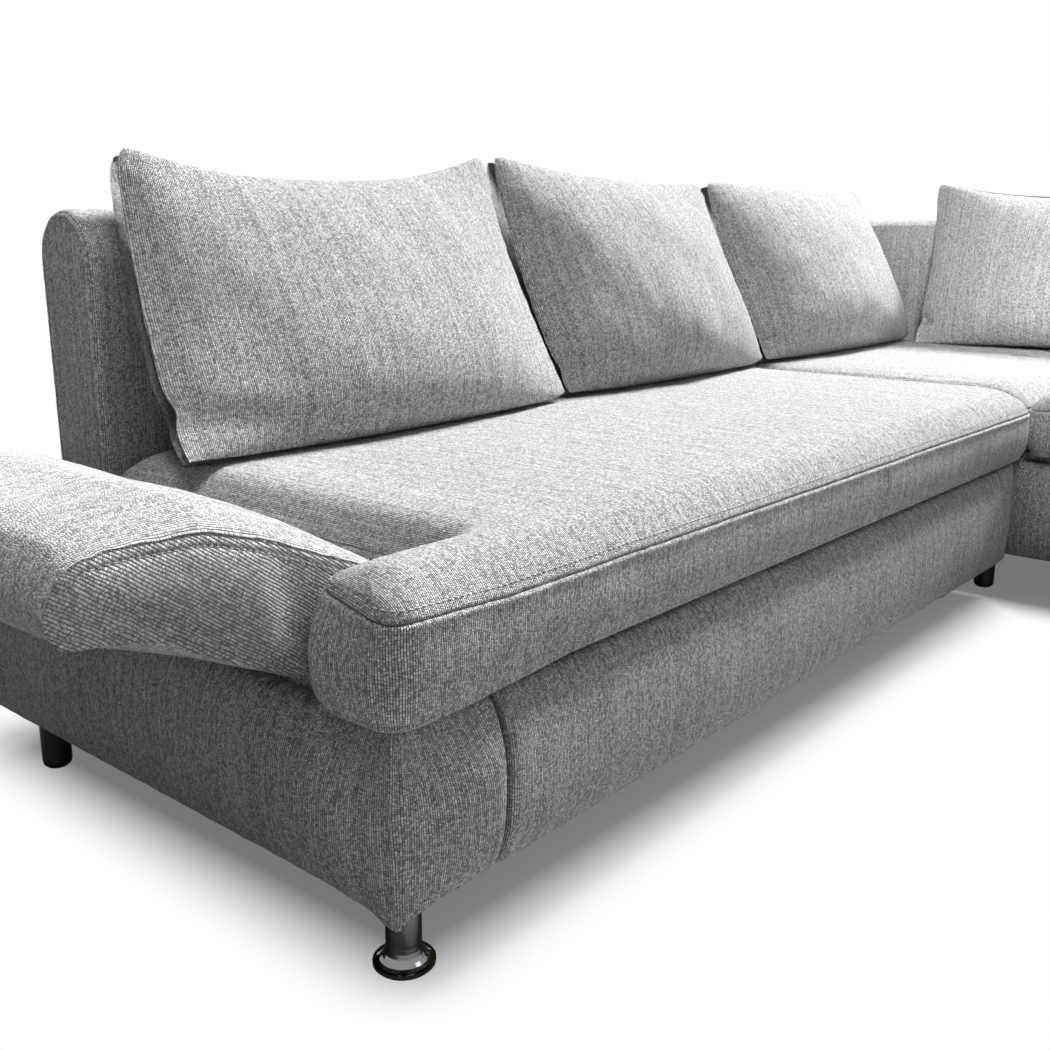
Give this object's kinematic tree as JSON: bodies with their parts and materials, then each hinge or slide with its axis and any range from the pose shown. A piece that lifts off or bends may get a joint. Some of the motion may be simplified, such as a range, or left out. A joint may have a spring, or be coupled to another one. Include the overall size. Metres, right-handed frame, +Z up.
{
  "type": "corner sofa",
  "caption": "L-shaped upholstered sofa with a fold-out arm, a pull-out bed drawer under the long seat and loose back cushions.",
  "frame": {"origin": "on the floor, centre of the front left foot's sole", "axes": "+Z up, +X along the long seat towards the return, +Y from the seat's front to its back rest"},
  "size_m": [2.9329, 1.99, 0.8633],
  "materials": {
    "woven_fabric": "coarse woven melange grey",
    "lining": "woven grey fabric stretched over board",
    "foam": "cut foam",
    "webbing": "woven elastic strip",
    "beech": "planed solid wood",
    "chipboard": "pressed board, cut edges",
    "chrome": "polished",
    "zinc_steel": "zinc plated",
    "black_plastic": "satin moulded plastic"
  },
  "bodies": {
    "base": {"chrome_feet": "chrome", "foot_glides": "black_plastic", "plastic_legs": "black_plastic", "foot_plates": "zinc_steel", "corner_blocks": "beech", "left_side_panel": "chipboard", "stile_panel": "chipboard", "arm_box_top": "chipboard", "inner_side_panel": "chipboard", "right_side_panel": "chipboard", "rear_panel": "lining", "bay_rear_rail": "chipboard", "left_skirt": "woven_fabric", "drawer_rails": "beech", "seat_frame": "beech", "seat_webbing": "webbing", "seat_foam": "foam", "seat_cover": "woven_fabric", "back_frame": "beech", "back_foam": "foam", "back_cover": "woven_fabric", "arm_hinge_brackets": "zinc_steel", "arm_hinge_pins": "zinc_steel", "return_inner_panel": "chipboard", "return_front_panel": "chipboard", "return_outer_panel": "lining", "return_rear_panel": "lining", "return_cross_rail": "beech", "return_skirt": "woven_fabric", "return_seat_frames": "beech", "corner_seat_foam": "foam", "corner_seat_cover": "woven_fabric", "chaise_seat_foam": "foam", "chaise_seat_cover": "woven_fabric", "return_back_frame": "beech", "return_back_foam": "foam", "return_back_cover": "woven_fabric", "module_hooks": "zinc_steel"},
    "arm": {"arm_board": "chipboard", "arm_foam": "foam", "arm_cover": "woven_fabric", "arm_hinge_leaves": "zinc_steel"},
    "drawer": {"drawer_front_panel": "chipboard", "drawer_front_skirt": "woven_fabric", "drawer_sides": "chipboard", "drawer_rear_panel": "chipboard", "drawer_floor": "chipboard", "bed_pad": "woven_fabric", "caster_forks": "zinc_steel", "caster_axles": "zinc_steel", "roller_pins": "zinc_steel"},
    "left_caster": {"caster_wheel_left": "black_plastic"},
    "right_caster": {"caster_wheel_right": "black_plastic"},
    "left_roller": {"rear_roller_left": "black_plastic"},
    "right_roller": {"rear_roller_right": "black_plastic"},
    "loose_cushion_1": {"cushion_1": "woven_fabric"},
    "loose_cushion_2": {"cushion_2": "woven_fabric"},
    "loose_cushion_3": {"cushion_3": "woven_fabric"},
    "loose_cushion_4": {"cushion_4": "woven_fabric"},
    "loose_cushion_5": {"cushion_5": "woven_fabric"}
  },
  "joints": [
    {"name": "arm_hinge", "type": "hinge", "parent": "base", "child": "arm", "pos_m": [0.012, 0.145, 0.366], "axis": [0, 1, 0], "range_deg": [0, 66]},
    {"name": "drawer_slide", "type": "slide", "parent": "base", "child": "drawer", "axis": [0, -1, 0], "range_m": [0, 0.58]},
    {"name": "left_caster_roll", "type": "hinge", "parent": "drawer", "child": "left_caster", "pos_m": [0.366, 0.096, 0.03], "axis": [1, 0, 0], "range_deg": [0, 1110]},
    {"name": "right_caster_roll", "type": "hinge", "parent": "drawer", "child": "right_caster", "pos_m": [1.328, 0.096, 0.03], "axis": [1, 0, 0], "range_deg": [0, 1110]},
    {"name": "left_roller_roll", "type": "hinge", "parent": "drawer", "child": "left_roller", "pos_m": [0.128, 0.595, 0.1541], "axis": [1, 0, 0], "range_deg": [0, 2775]},
    {"name": "right_roller_roll", "type": "hinge", "parent": "drawer", "child": "right_roller", "pos_m": [1.566, 0.595, 0.1541], "axis": [1, 0, 0], "range_deg": [0, 2775]},
    {"name": "cushion_1_lift", "type": "slide", "parent": "base", "child": "loose_cushion_1", "axis": [0, 0, 1], "range_m": [0, 0.35]},
    {"name": "cushion_2_lift", "type": "slide", "parent": "base", "child": "loose_cushion_2", "axis": [0, 0, 1], "range_m": [0, 0.35]},
    {"name": "cushion_3_lift", "type": "slide", "parent": "base", "child": "loose_cushion_3", "axis": [0, 0, 1], "range_m": [0, 0.35]},
    {"name": "cushion_4_lift", "type": "slide", "parent": "base", "child": "loose_cushion_4", "axis": [0, 0, 1], "range_m": [0, 0.35]},
    {"name": "cushion_5_lift", "type": "slide", "parent": "base", "child": "loose_cushion_5", "axis": [0, 0, 1], "range_m": [0, 0.35]}
  ],
  "couplings": [
    {"joint": "left_caster_roll", "follows": "drawer_slide", "rad_per_m": 33.333},
    {"joint": "right_caster_roll", "follows": "drawer_slide", "rad_per_m": 33.333},
    {"joint": "left_roller_roll", "follows": "drawer_slide", "rad_per_m": 83.333},
    {"joint": "right_roller_roll", "follows": "drawer_slide", "rad_per_m": 83.333}
  ]
}
